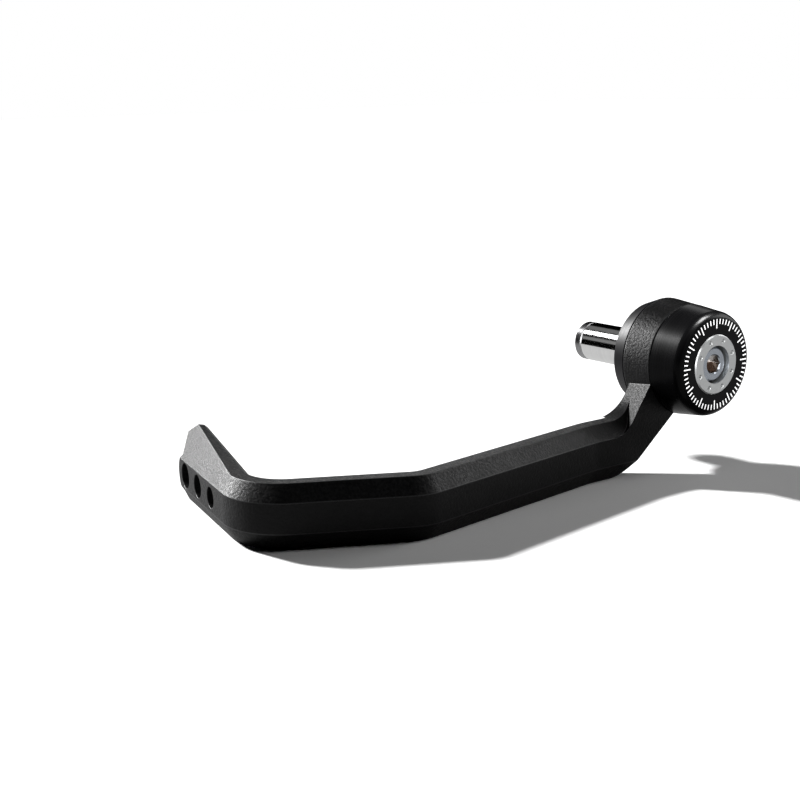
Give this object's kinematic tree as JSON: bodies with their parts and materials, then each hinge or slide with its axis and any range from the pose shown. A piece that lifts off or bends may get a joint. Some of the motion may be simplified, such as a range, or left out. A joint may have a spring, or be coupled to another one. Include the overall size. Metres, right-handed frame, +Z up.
{
  "type": "lever guard",
  "caption": "Handlebar-end lever guard: a bent, chamfered arm with a hooked faceted pad, clamped between turned rings on an expanding spigot.",
  "frame": {"origin": "on the handlebar's axis, in the face of the flange that seats on the bar's end", "axes": "+X forward along the arm, +Y outboard along the bar's axis, +Z up, for a guard on the left-hand end of the bar"},
  "size_m": [0.1566, 0.075, 0.0476],
  "materials": {
    "arm_black": "matte black anodised aluminium, fine blasted grain",
    "cap_black": "satin black anodised, turned",
    "ring_black": "black anodised with turning lines",
    "washer_satin": "satin blasted aluminium",
    "bolt_zinc": "zinc plated, slightly blue",
    "turned_silver": "turned, fine lines",
    "polished_steel": "polished, fine lines"
  },
  "bodies": {
    "root": {"guard_arm": "arm_black", "end_cap": "cap_black", "rear_ring": "ring_black", "cup_washer": "washer_satin", "clamp_bolt": "bolt_zinc", "seat_flange": "turned_silver", "spigot_sleeve": "polished_steel", "expander_plug": "turned_silver"}
  },
  "joints": []
}
